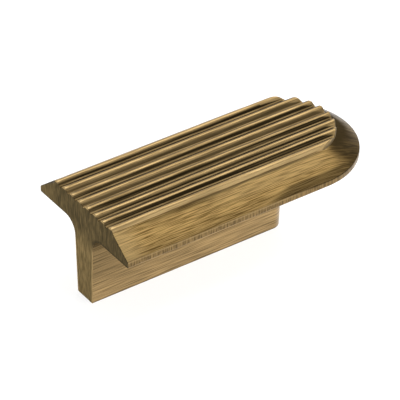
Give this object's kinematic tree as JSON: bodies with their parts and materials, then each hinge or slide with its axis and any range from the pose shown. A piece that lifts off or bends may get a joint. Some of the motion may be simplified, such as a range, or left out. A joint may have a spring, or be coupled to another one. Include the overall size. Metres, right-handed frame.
{
  "type": "t-profile pull handle",
  "caption": "Brass pull handle of T section: a ribbed finger plate with a sloped border, a flat end and a half-round end, on a drafted leg with tapped holes in its foot.",
  "frame": {"origin": "middle of the mounting foot, on the face that meets the drawer front", "axes": "+X along the ribs towards the half-round end, +Y across the plate, +Z away from the drawer front towards the ribbed plate"},
  "size_m": [0.0815, 0.04, 0.0291],
  "materials": {
    "antique_brass": "antique patina, brushed back to bright metal on the crests and faces"
  },
  "bodies": {
    "root": {"pull_handle": "antique_brass"}
  },
  "joints": []
}
